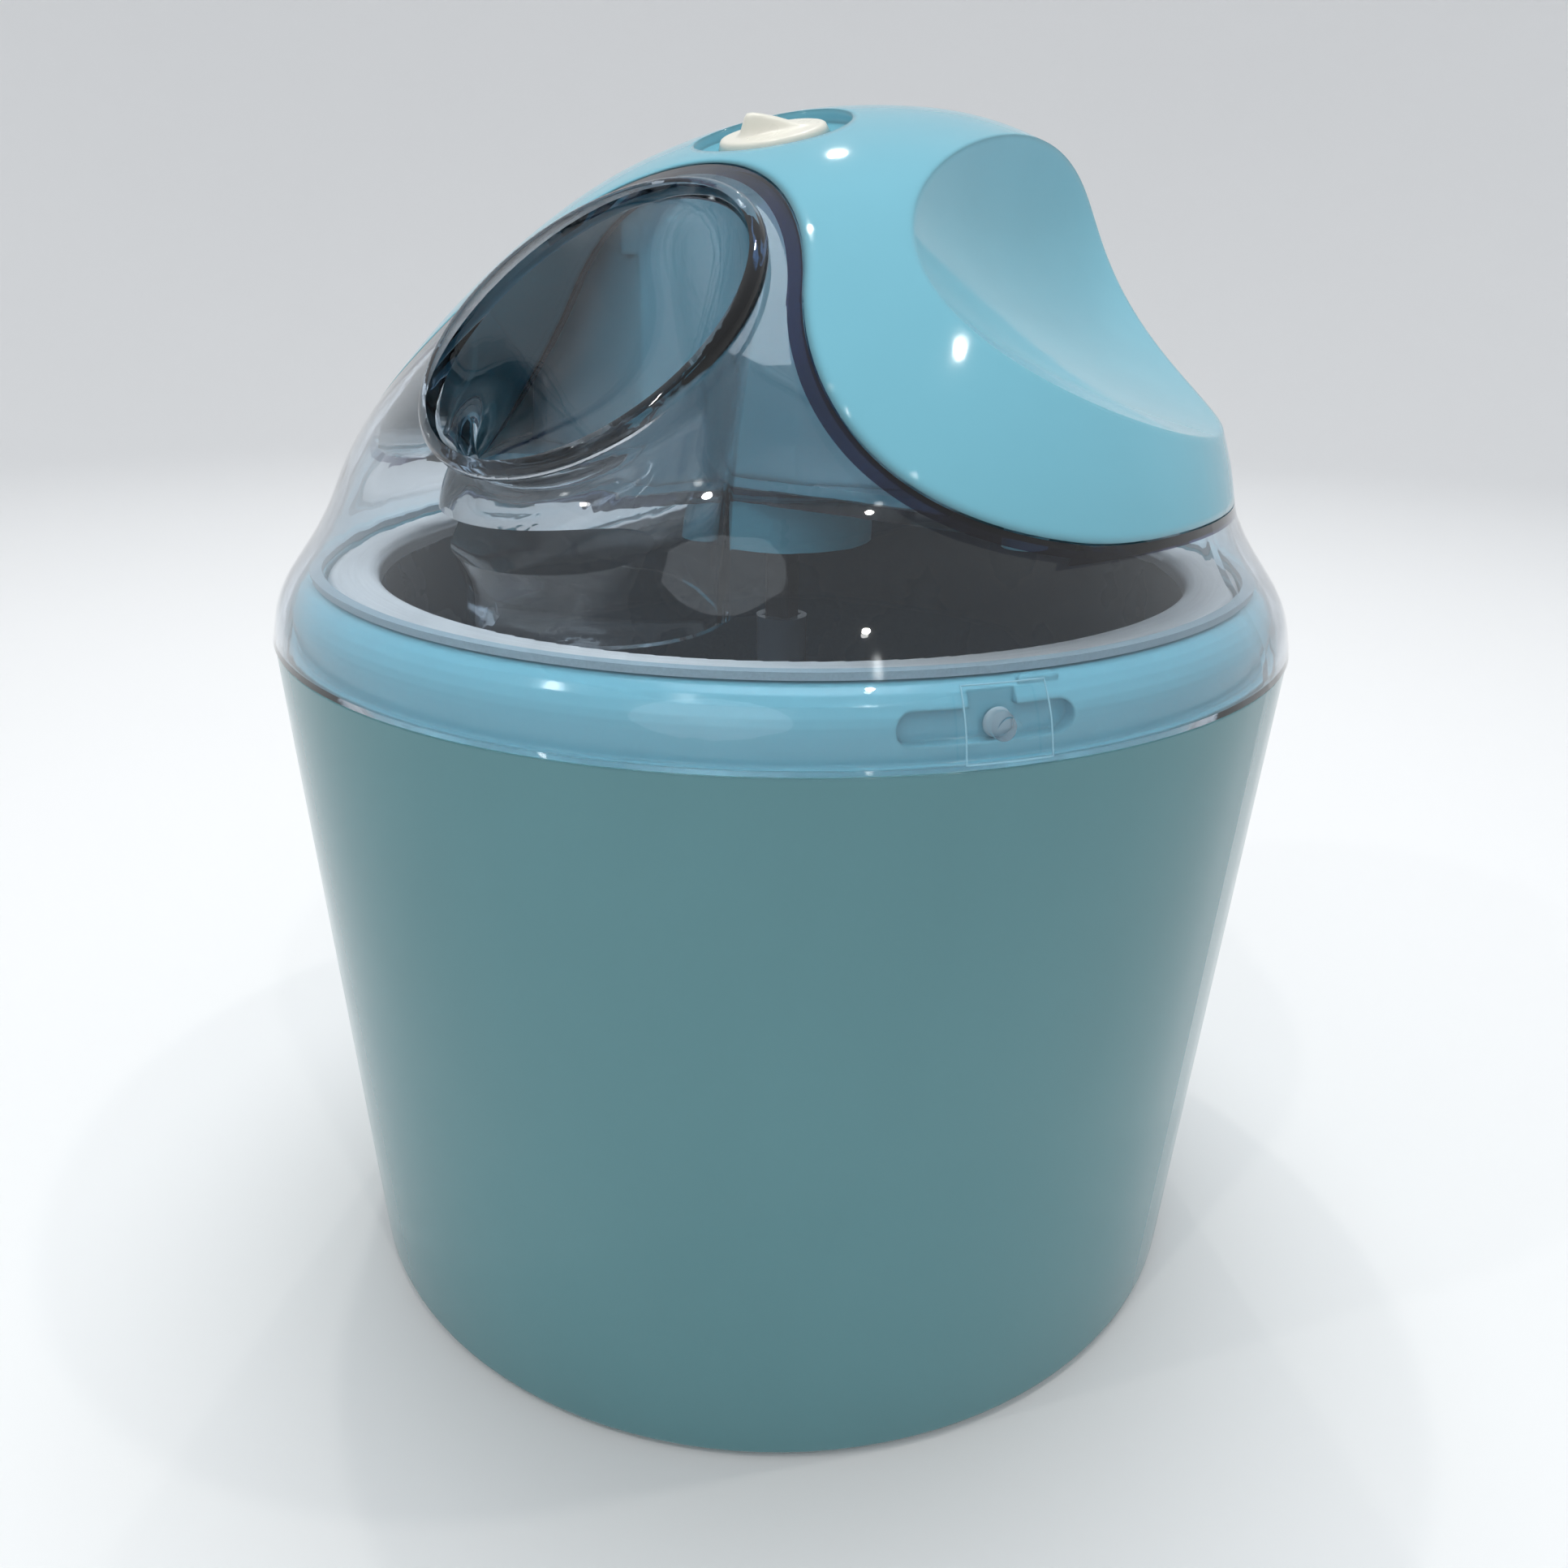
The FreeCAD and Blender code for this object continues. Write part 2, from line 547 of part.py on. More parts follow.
# ---------------------------------------------------------------- motor base with its drum
base_z = split_z + GAP
base_space = dome_solid(WALL + 0.15, -6.0)
slab = block(-130, 130, front_wall_y, 130, base_z, base_z + 2.0).common(base_space)
drum_low = SEAM + DRUM_LOW_H
base = slab.fuse(cylinder(DRUM_R, drum_low, base_z + 1.0))
base = base.cut(cylinder(DRUM_R - 2.0, drum_low + 2.0, base_z + 3.0))
base = base.fuse(cylinder(10.0, drum_low, base_z + 2.0))
for x, y in GEAR_POSTS:
    base = base.fuse(cylinder(3.5, base_z, SEAM + PLATE_H, x, y))
idler_boss = cylinder(5.0, base_z, SEAM + LOW_GEARS_H - 0.5, *IDLER_XY)
base = base.fuse(idler_boss)
for x, y in PEG_BOSSES:
    base = base.fuse(cylinder(4.5, SEAM + 24.5, base_z + 1.0, x, y))
base = base.removeSplitter()
for x, y in PEG_BOSSES:
    base = base.cut(cylinder(1.6, SEAM + 20, SEAM + 29.0, x, y))
for x, y in GEAR_POSTS:
    base = base.cut(cylinder(1.25, SEAM + PLATE_H - 9.0, SEAM + 60, x, y))
for x, y in COVER_SCREWS:
    base = base.cut(cylinder(1.7, SEAM, SEAM + 60, x, y))
    base = base.cut(cylinder(3.2, SEAM, base_z + 1.0, x, y))
base = base.cut(cylinder(6.5, SEAM, SEAM + 60))
base = base.cut(cylinder(2.53, base_z + 0.5, SEAM + 60, *IDLER_XY))
save("motor_base", base)
save("output_bush", tube(6.5, SHAFT_R + 0.03, drum_low, base_z + 2.0))
cover_screws = [screw(x, y, base_z + 1.0, -1, 10.0, 3.0, 1.5) for x, y in COVER_SCREWS]
cover_screws = [s.common(block(-130, 130, -130, 130, base_z, SEAM + 80)) for s in cover_screws]
save("cover_screws", Part.makeCompound(cover_screws))

# ---------------------------------------------------------------- gear train
low_a = SEAM + LOW_GEARS_H
low_b = SEAM + HIGH_GEARS_H
plate_z = SEAM + PLATE_H
output_gear = gear(WHEEL_TEETH, low_a, low_a + GEAR_FACE, IDLER_ANGLE, 0.0, 0.0, SHAFT_R + 0.03)
save("output_gear", output_gear)
shaft_low = PADDLE_TOP_Z - 12.0
shaft = cylinder(SHAFT_R, drum_low - 6.0, low_a + GEAR_FACE)
shaft = shaft.fuse(block(-DRIVE / 2, DRIVE / 2, -DRIVE / 2, DRIVE / 2, shaft_low, drum_low - 6.0))
shaft = shaft.common(cylinder(SHAFT_R, shaft_low, low_a + GEAR_FACE))
shaft = shaft.fuse(cylinder(3.0, low_a + GEAR_FACE, plate_z + PLATE))
save("output_shaft", shaft)
idler_x, idler_y = IDLER_XY
idler_turn = IDLER_ANGLE + 180 + 180.0 / PINION_TEETH
idler_pinion = gear(PINION_TEETH, low_a, low_b, idler_turn, idler_x, idler_y, 2.55)
idler_wheel = gear(WHEEL_TEETH, low_b, low_b + GEAR_FACE - 0.5, ROTOR_ANGLE, idler_x, idler_y, 2.55)
save("idler_gear", idler_pinion.fuse(idler_wheel))
save("idler_axle", cylinder(2.5, base_z + 0.5, plate_z + PLATE, idler_x, idler_y))
rotor_x, rotor_y = ROTOR_XY
motor_top = plate_z + PLATE + MOTOR_HEIGHT
pinion_turn = ROTOR_ANGLE + 180 + 180.0 / PINION_TEETH
save("rotor_pinion", gear(PINION_TEETH, low_b - 0.3, low_b + GEAR_FACE, pinion_turn, rotor_x, rotor_y, 2.0))
save("rotor_shaft", cylinder(2.0, low_b - 0.3, motor_top + 2.0, rotor_x, rotor_y))
rotor_low = plate_z + PLATE + 4.0
rotor_high = motor_top - 5.5
save("rotor_core", tube(9.0, 2.0, rotor_low, rotor_high, rotor_x, rotor_y))

plate = block(-32, 38, -14, 56, plate_z, plate_z + PLATE)
for x, y in GEAR_POSTS:
    plate = plate.cut(cylinder(1.7, SEAM, SEAM + 90, x, y))
plate = plate.cut(cylinder(3.05, SEAM, SEAM + 90))
plate = plate.cut(cylinder(2.53, SEAM, SEAM + 90, idler_x, idler_y))
plate = plate.cut(cylinder(4.53, SEAM, SEAM + 90, rotor_x, rotor_y))
save("gear_plate", plate)
plate_screws = [screw(x, y, plate_z + PLATE, 1, 9.0, 2.8, 1.25) for x, y in GEAR_POSTS]
save("plate_screws", Part.makeCompound(plate_screws))

can_low = plate_z + PLATE
can = cylinder(MOTOR_R, can_low, motor_top, rotor_x, rotor_y)
can = can.cut(cylinder(MOTOR_R - 1.2, can_low - 1, motor_top - 1.5, rotor_x, rotor_y))
can = can.cut(cylinder(4.53, SEAM, SEAM + 120, rotor_x, rotor_y))
save("motor_can", can)
low_bush = tube(4.5, 2.03, plate_z, can_low + 2.5, rotor_x, rotor_y)
high_bush = tube(4.5, 2.03, motor_top - 4.0, motor_top, rotor_x, rotor_y)
save("motor_bushes", Part.makeCompound([low_bush, high_bush]))
save("pole_ring", tube(12.4, 9.4, can_low + 2.0, motor_top - 3.5, rotor_x, rotor_y))
save("stator_coil", tube(MOTOR_R - 1.4, 12.5, can_low + 2.0, motor_top - 3.5, rotor_x, rotor_y))

terminal = block(-62, -40, 34, 46, base_z + 2.0, base_z + 16)
for k in range(2):
    entry = Part.makeCylinder(2.0, 20, V(-56 + 10 * k, 30, base_z + 8), V(0, 1, 0))
    terminal = terminal.cut(entry)
    terminal = terminal.cut(cylinder(1.6, base_z + 8, base_z + 20, -56 + 10 * k, 40))
save("terminal_block", terminal)

# ---------------------------------------------------------------- cord gland at the back
gland = Part.makeCylinder(GLAND_R - 0.05, 9.0, V(0, GLAND_FACE_Y - 10.2, SEAM + GLAND_H), V(0, 1, 0))
gland_back = Part.makeCylinder(GLAND_R + 2.0, 2.1, V(0, GLAND_FACE_Y - 2.1, SEAM + GLAND_H), V(0, 1, 0))
gland_front = Part.makeCylinder(GLAND_R + 1.5, 1.6, V(0, GLAND_FACE_Y - 10.2, SEAM + GLAND_H), V(0, 1, 0))
gland = fuse([gland, gland_back, gland_front])
gland = gland.cut(Part.makeCylinder(CORD_R, 60, V(0, 60, SEAM + GLAND_H), V(0, 1, 0)))
save("cord_gland", gland)

# ---------------------------------------------------------------- knob and switch
knob_floor = -DISH_DEPTH + 0.2
disc = Part.makeCone(KNOB_R, KNOB_R - 0.8, 2.0, V(0, 0, knob_floor))
grip_low = knob_floor + 1.8
grip_points = [(-6.9, 0.0), (-6.2, 2.0), (-5.4, 3.4), (-4.8, 4.1), (-3.5, 3.95), (-1.8, 3.5), (1.1, 2.5)]
grip_points += [(3.9, 1.2), (6.5, 0.4), (8.5, 0.0)]
grip_corners = [V(x, -GRIP_HALF, grip_low + z) for x, z in grip_points]
grip = Part.Face(Part.makePolygon(grip_corners + [grip_corners[0]])).extrude(V(0, 2 * GRIP_HALF, 0))
grip = at_angle(grip, GRIP_TURN)
knob = disc.fuse(grip)
knob = knob.cut(cylinder(3.0, knob_floor - 1, knob_floor + 1.4))
save("knob", on_knob(knob))
switch_top = -DISH_DEPTH - WALL - 0.2
save("switch_shaft", on_knob(cylinder(3.0, switch_top - 6.0, knob_floor + 1.4)))
switch = block(-10, 10, -9, 9, switch_top - 12.0, switch_top)
switch = switch.cut(cylinder(3.05, switch_top - 6.2, switch_top + 5.0))
save("switch_body", on_knob(switch))

# ---------------------------------------------------------------- paddle
hub = cylinder(HUB_R, PADDLE_LOW_Z + 1.0, PADDLE_TOP_Z)
hub = hub.cut(block(-DRIVE / 2 - 0.2, DRIVE / 2 + 0.2, -DRIVE / 2 - 0.2, DRIVE / 2 + 0.2,
                    shaft_low - 1.0, PADDLE_TOP_Z + 1))
hub = hub.cut(cylinder(PIVOT_R + 0.06, PADDLE_LOW_Z - 1, PADDLE_LOW_Z + 5.0))
arms = []
for side in (0, 180):
    foot_bar = block(HUB_R - 1.5, PADDLE_R - 8.0, -2.0, 2.0, PADDLE_LOW_Z + 1.0, PADDLE_LOW_Z + 11.0)
    top_bar = block(HUB_R - 1.5, PADDLE_R - 2.0, -2.0, 2.0, PADDLE_ARM_TOP_Z - 9.0, PADDLE_ARM_TOP_Z)
    mid_bar = block(38.0, 44.0, -2.0, 2.0, PADDLE_LOW_Z + 6.0, PADDLE_ARM_TOP_Z - 4.0)
    edge = [V(PADDLE_R - 16.0, -2.0, PADDLE_LOW_Z + 1.0), V(PADDLE_R - 8.0, -2.0, PADDLE_LOW_Z + 1.0)]
    edge += [V(PADDLE_R - 3.0, -2.0, PADDLE_LOW_Z + 11.0), V(PADDLE_R, -2.0, PADDLE_ARM_TOP_Z)]
    edge += [V(PADDLE_R - 8.0, -2.0, PADDLE_ARM_TOP_Z)]
    outer_bar = Part.Face(Part.makePolygon(edge + [edge[0]])).extrude(V(0, 4.0, 0))
    arm = fuse([foot_bar, top_bar, mid_bar, outer_bar])
    arms.append(at_angle(arm, side + 20.0))
save("paddle", fuse([hub] + arms))
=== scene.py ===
import json
import math

import bmesh
import bpy
from mathutils import Matrix, Vector


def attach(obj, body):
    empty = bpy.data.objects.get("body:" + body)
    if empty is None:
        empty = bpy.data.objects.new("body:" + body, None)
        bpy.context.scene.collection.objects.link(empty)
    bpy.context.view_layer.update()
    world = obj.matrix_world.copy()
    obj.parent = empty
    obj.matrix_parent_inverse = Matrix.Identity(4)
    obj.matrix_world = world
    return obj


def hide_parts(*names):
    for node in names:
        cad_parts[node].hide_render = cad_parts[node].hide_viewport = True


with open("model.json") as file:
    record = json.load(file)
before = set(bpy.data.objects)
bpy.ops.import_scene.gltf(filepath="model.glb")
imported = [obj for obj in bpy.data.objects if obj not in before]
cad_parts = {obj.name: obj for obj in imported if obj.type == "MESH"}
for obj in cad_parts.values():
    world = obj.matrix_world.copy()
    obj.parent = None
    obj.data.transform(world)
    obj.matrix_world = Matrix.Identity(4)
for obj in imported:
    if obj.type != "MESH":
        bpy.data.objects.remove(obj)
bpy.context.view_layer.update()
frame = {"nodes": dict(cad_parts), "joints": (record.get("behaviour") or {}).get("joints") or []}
nodes = frame["nodes"]
joints = {joint["name"]: joint for joint in frame["joints"]}

# ---------------------------------------------------------------- driving values, in metres
SEAM = joints["lid_turn"]["pos_m"][2]     # height of the bucket's upper edge
CAMERA_PLACE = (0.1704, -0.2433, 0.2346)
CAMERA_TARGET = (0.0, 0.0, 0.104)
CAMERA_ROLL = 0.911         # degrees
FOCAL_LENGTH = 28.38        # millimetres, on a 36 mm sensor
SHIFT = (0.0036, 0.0198)

# split between the lid and the motor cover, above the seam: a crown arc, a hollow flare and a level edge;
# it places the painted dark band on the lid
SPLIT_H = 0.030
BELL_CROWN_R = 0.046
BELL_CROWN_H = 0.0462
CROWN_TURN = math.radians(57.0)
BELL_CROWN_X = BELL_CROWN_R * math.sin(CROWN_TURN)
BELL_FLARE_R = 0.099
FLARE_END_TURN = math.radians(18.5)
BELL_FLARE_X = (BELL_CROWN_R + BELL_FLARE_R) * math.sin(CROWN_TURN)
BELL_FLARE_H = BELL_CROWN_H + (BELL_CROWN_R + BELL_FLARE_R) * math.cos(CROWN_TURN)
BELL_END_X = BELL_FLARE_X - BELL_FLARE_R * math.sin(FLARE_END_TURN)
LID_BACK_Y = -0.0248
SHADE_BAND_WIDTH = 0.0019               # width of the painted dark band along the split, painted shade for the darker look through the wall's edge
SHADE_BAND_START = -0.0004
DECK_FACING = 0.9           # least upward share of a normal on the deck
ROOF_FACING = 0.05          # most forward share of a normal on the roof

PEG_COUNT = 3
PEG_AZIMUTH = 54.0          # degrees from the front towards +X
PEG_LENS_REACH = 0.1096
PEG_LENS_H = 0.0055
PEG_LENS_R = 0.0026
PEG_LENS_BULGE = 0.0011
LINE_R = 0.00016
RAY_START_R = 0.15
INSERT_HALF_TURN = 3.9      # degrees, half the width of the moulding insert
INSERT_LOW_H = 0.0008
INSERT_HIGH_H = 0.0127

KNOB_MID = joints["knob_turn"]["pos_m"]
KNOB_AXIS = joints["knob_turn"]["axis"]
KNOB_TILT = math.atan2(-KNOB_AXIS[1], KNOB_AXIS[2])
FIN_TURN = math.radians(35)
KNOB_TOP = -0.0010          # above the dome, along the knob's axis
KNOB_LOW = -0.0030
KNOB_R = 0.0118
KNOB_FLAT_R = 0.0104
KNOB_SIDES = 144
TOP_RINGS = 40
SHAFT_R = 0.0030            # bore for the switch shaft
SHAFT_DEPTH = 0.0014
KNOB_RIM = ((0.0108, -0.0011), (0.0111, -0.0013), (0.0113, -0.0017))
FIN_HALF = 0.0023
FIN_RIDGE = ((-0.0076, 0.0), (-0.0068, 0.0005), (-0.0062, 0.0017), (-0.0055, 0.0031), (-0.0048, 0.0038),
             (-0.0036, 0.00378), (-0.0018, 0.0033), (0.0011, 0.0023), (0.0039, 0.0011), (0.0065, 0.0003),
             (0.0090, 0.0))


# ---------------------------------------------------------------- material helpers
NOISE_START = 0.35
NOISE_END = 0.65


def linear(red, green, blue):
    """Linear colour from 0-255 display values."""
    channels = []
    for value in (red, green, blue):
        share = value / 255.0
        channels.append(share / 12.92 if share <= 0.04045 else ((share + 0.055) / 1.055) ** 2.4)
    return (channels[0], channels[1], channels[2], 1.0)


def shade(colour, factor):
    return tuple(min(1.0, channel * factor) for channel in colour[:3]) + (1.0,)


class Look:
    """A material in the making: a node tree around one Principled shader."""

    def __init__(self, name, roughness=0.4, metallic=0.0, **sockets):
        self.material = bpy.data.materials.new(name)
        self.material.use_nodes = True
        self.tree = self.material.node_tree
        self.shader = self.tree.nodes["Principled BSDF"]
        self.output = self.tree.nodes["Material Output"]
        self.shader.inputs["Roughness"].default_value = roughness
        self.shader.inputs["Metallic"].default_value = metallic
        for socket, value in sockets.items():
            self.shader.inputs[socket.replace("_", " ")].default_value = value
        coordinates = self.add("ShaderNodeTexCoord")
        self.where = coordinates.outputs["Object"]
        self.directions = coordinates.outputs["Normal"]

    def add(self, kind, **sockets):
        node = self.tree.nodes.new(kind)
        for socket, value in sockets.items():
            node.inputs[socket.replace("_", " ")].default_value = value
        return node

    def link(self, source, target):
        self.tree.links.new(source, target)

    def maths(self, operation, first, second=None):
        """One step of arithmetic, on sockets or numbers."""
        node = self.add("ShaderNodeMath")
        node.operation = operation
        for place, value in enumerate((first, second)):
            if isinstance(value, (int, float)):
                node.inputs[place].default_value = value
            elif value is not None:
                self.link(value, node.inputs[place])
        return node.outputs[0]

    def stretched(self, scale):
        """Coordinates stretched by three factors."""
        mapping = self.add("ShaderNodeMapping", Scale=scale)
        self.link(self.where, mapping.inputs["Vector"])
        return mapping.outputs["Vector"]

    def around(self, per_radius, per_turn, per_height):
        """Coordinates of (radius, angle, height) about the part's axis, for marks that run round it."""
        split = self.add("ShaderNodeSeparateXYZ")
        self.link(self.where, split.inputs[0])
        angle = self.maths("ARCTAN2", split.outputs["Y"], split.outputs["X"])
        flat = self.add("ShaderNodeCombineXYZ")
        self.link(split.outputs["X"], flat.inputs["X"])
        self.link(split.outputs["Y"], flat.inputs["Y"])
        length = self.add("ShaderNodeVectorMath")
        length.operation = "LENGTH"
        self.link(flat.outputs[0], length.inputs[0])
        joined = self.add("ShaderNodeCombineXYZ")
        self.link(self.maths("MULTIPLY", length.outputs["Value"], per_radius), joined.inputs["X"])
        self.link(self.maths("MULTIPLY", angle, per_turn), joined.inputs["Y"])
        self.link(self.maths("MULTIPLY", split.outputs["Z"], per_height), joined.inputs["Z"])
        return joined.outputs[0]

    def noise(self, scale, detail=2.0, where=None):
        node = self.add("ShaderNodeTexNoise", Scale=scale, Detail=detail)
        self.link(where or self.where, node.inputs["Vector"])
        return node.outputs["Fac"]

    def between(self, factor, low, high):
        """The middle range of a noise factor, spread from low to high."""
        node = self.add("ShaderNodeMapRange")
        node.inputs["From Min"].default_value = NOISE_START
        node.inputs["From Max"].default_value = NOISE_END
        node.inputs["To Min"].default_value = low
        node.inputs["To Max"].default_value = high
        self.link(factor, node.inputs["Value"])
        return node.outputs["Result"]

    def colours(self, factor, first, second):
        """Blend of two colours, or of the colour so far and a second one, into the base colour."""
        node = self.add("ShaderNodeMix")
        node.data_type = "RGBA"
        if isinstance(first, tuple):
            node.inputs[6].default_value = first
        else:
            self.link(first, node.inputs[6])
        node.inputs[7].default_value = second
        self.link(factor, node.inputs[0])
        self.link(node.outputs[2], self.shader.inputs["Base Color"])
        return node.outputs[2]

    def rough(self, factor, low, high):
        self.link(self.between(factor, low, high), self.shader.inputs["Roughness"])

    def bump(self, height, distance, strength=1.0, after=None):
        node = self.add("ShaderNodeBump", Strength=strength, Distance=distance)
        self.link(height, node.inputs["Height"])
        if after is not None:
            self.link(after, node.inputs["Normal"])
        self.link(node.outputs[0], self.shader.inputs["Normal"])
        return node.outputs[0]


# ---------------------------------------------------------------- materials
def moulded(name, colour, roughness, vary=0.04, grain=900.0, depth=4e-6, edge=0.0, **sockets):
    """Moulded plastic: faint flow variation, fine grain and uneven gloss, with its edges rounded."""
    look = Look(name, roughness, **sockets)
    flow = look.noise(14.0, 3.0, look.stretched((1.0, 1.0, 0.45)))
    look.colours(look.between(flow, 0.0, 1.0), shade(colour, 1 - vary), shade(colour, 1 + vary))
    look.rough(look.noise(70.0, 4.0), roughness * 0.82, roughness * 1.2)
    rounded = None
    if edge > 0:
        bevel = look.add("ShaderNodeBevel", Radius=edge)
        bevel.samples = 6
        rounded = bevel.outputs[0]
    waves = look.bump(look.noise(130.0, 1.0), 1.2e-5, 0.35, rounded)
    look.bump(look.noise(grain, 2.0), depth, 0.5, waves)
    return look.material


def painted_split_shade_mask(look):
    """One within the painted dark band of the lid's wall along its split with the motor cover, else
    nought; the band is painted shade for the darker look through the wall's edge.
    """
    place = look.add("ShaderNodeSeparateXYZ")
    look.link(look.where, place.inputs[0])
    across = look.maths("ABSOLUTE", place.outputs["X"])
    height = look.maths("SUBTRACT", place.outputs["Z"], SEAM)

    def from_centre(x, z):
        aside = look.maths("SUBTRACT", across, x)
        above = look.maths("SUBTRACT", height, z)
        if z < BELL_FLARE_H:
            above = look.maths("MAXIMUM", above, 0.0)
        squares = look.maths(
            "ADD", look.maths("MULTIPLY", aside, aside), look.maths("MULTIPLY", above, above)
        )
        return look.maths("SQRT", squares)

    crown = look.maths("SUBTRACT", BELL_CROWN_R, from_centre(0.0, BELL_CROWN_H))
    flare = look.maths("SUBTRACT", from_centre(BELL_FLARE_X, BELL_FLARE_H), BELL_FLARE_R)
    level = look.maths("SUBTRACT", SPLIT_H, height)
    past_crown = look.maths("GREATER_THAN", across, BELL_CROWN_X)
    behind = look.maths("GREATER_THAN", place.outputs["Y"], LID_BACK_Y)
    past_flare = look.maths("MAXIMUM", look.maths("GREATER_THAN", across, BELL_END_X), behind)

    def choose(mask, other, chosen):
        return look.maths(
            "ADD", other, look.maths("MULTIPLY", mask, look.maths("SUBTRACT", chosen, other))
        )

    depth = choose(past_flare, choose(past_crown, crown, flare), level)
    past_start = look.maths("GREATER_THAN", depth, SHADE_BAND_START)
    inside = look.maths("MULTIPLY", past_start, look.maths("LESS_THAN", depth, SHADE_BAND_WIDTH))
    facing = look.add("ShaderNodeSeparateXYZ")
    look.link(look.directions, facing.inputs[0])
    not_deck = look.maths("LESS_THAN", look.maths("ABSOLUTE", facing.outputs["Z"]), DECK_FACING)
    not_roof = look.maths("GREATER_THAN", look.maths("ABSOLUTE", facing.outputs["Y"]), ROOF_FACING)
    not_roof = look.maths("MAXIMUM", not_roof, look.maths("LESS_THAN", height, SPLIT_H))
    return look.maths("MULTIPLY", inside, look.maths("MULTIPLY", not_deck, not_roof))


def clear_plastic(name, tint, absorb, density, shadow, roughness=0.02, edge_shade_colour=None):
    """Clear moulding tinted by its thickness, that lets part of the lamps' light straight through, with a
    dark band painted in as shade along the split when a band colour is given.
    """
    look = Look(
        name, roughness, IOR=1.2, Transmission_Weight=1.0, Coat_Weight=1.0, Coat_Roughness=roughness
    )
    base = look.colours(look.noise(20.0, 2.0), shade(tint, 0.97), tint)
    if edge_shade_colour is not None:
        # painted shade: the dark band along the split is blended into the base colour
        look.colours(painted_split_shade_mask(look), base, edge_shade_colour)
    look.rough(look.noise(55.0, 4.0), roughness * 0.6, roughness * 1.6)
    look.bump(look.noise(90.0, 1.0), 1.5e-5, 0.3)
    body = look.add("ShaderNodeVolumeAbsorption", Density=density)
    body.inputs["Color"].default_value = absorb
    look.link(body.outputs[0], look.output.inputs["Volume"])
    straight = look.add("ShaderNodeBsdfTransparent")
    straight.inputs["Color"].default_value = shadow
    path = look.add("ShaderNodeLightPath")
    mix = look.add("ShaderNodeMixShader")
    look.link(path.outputs["Is Shadow Ray"], mix.inputs[0])
    look.link(look.shader.outputs[0], mix.inputs[1])
    look.link(straight.outputs[0], mix.inputs[2])
    look.link(mix.outputs[0], look.output.inputs["Surface"])
    return look.material


def turned_metal(name, colour, roughness, around=False, lines=2500.0, depth=3e-6, metallic=1.0):
    """Metal with fine turning or brushing lines."""
    look = Look(name, roughness, metallic)
    where = look.around(lines, 3.0, lines) if around else look.stretched((60.0, 60.0, lines))
    marks = look.noise(1.0, 3.0, where)
    look.colours(look.between(marks, 0.0, 1.0), shade(colour, 0.9), colour)
    look.rough(look.noise(60.0, 3.0), roughness * 0.8, roughness * 1.25)
    look.bump(marks, depth, 0.6)
    return look.material


def dark_coat():
    """Satin hard coat of the bowl: dark, with faint turning marks and speckle."""
    look = Look("Bowl hard coat", 0.3, Specular_IOR_Level=0.25)
    marks = look.noise(1.0, 2.0, look.around(900.0, 2.0, 900.0))
    speckle = look.noise(1600.0, 2.0)
    look.colours(look.between(speckle, 0.0, 1.0), linear(34, 62, 78), linear(44, 74, 90))
    look.rough(look.noise(35.0, 3.0), 0.24, 0.34)
    first = look.bump(marks, 4e-6, 0.5)
    look.bump(speckle, 3e-6, 0.4, first)
    return look.material


def rubber(name, colour, roughness=0.7):
    look = Look(name, roughness)
    grain = look.noise(1800.0, 3.0)
    look.colours(grain, shade(colour, 0.8), shade(colour, 1.2))
    look.rough(look.noise(120.0, 2.0), roughness * 0.9, min(1.0, roughness * 1.1))
    look.bump(grain, 2e-5, 0.6)
    return look.material


def winding():
    """Enamelled copper wire wound in layers."""
    look = Look("Motor winding", 0.3, 1.0)
    wave = look.add("ShaderNodeTexWave", Scale=420.0, Distortion=1.5, Detail=1.0)
    wave.bands_direction = "Z"
    look.link(look.where, wave.inputs["Vector"])
    look.colours(wave.outputs["Fac"], linear(120, 58, 32), linear(205, 118, 70))
    look.rough(look.noise(90.0), 0.25, 0.4)
    look.bump(wave.outputs["Fac"], 1.5e-4, 0.8)
    return look.material


def cooling_gel():
    look = Look("Cooling gel", 0.25, Transmission_Weight=0.4, IOR=1.34)
    cloud = look.noise(40.0, 4.0)
    look.colours(look.between(cloud, 0.0, 1.0), linear(70, 120, 175), linear(130, 170, 205))
    look.rough(cloud, 0.18, 0.35)
    look.bump(look.noise(300.0), 5e-5, 0.3)
    return look.material


AQUA = linear(119, 185, 203)
# painted shade: the bucket is the same aqua plastic as the collar, painted darker and duller for its
# shaded look
AQUA_BUCKET_SHADED = linear(92, 136, 142)
AQUA_COLLAR = linear(118, 182, 199)

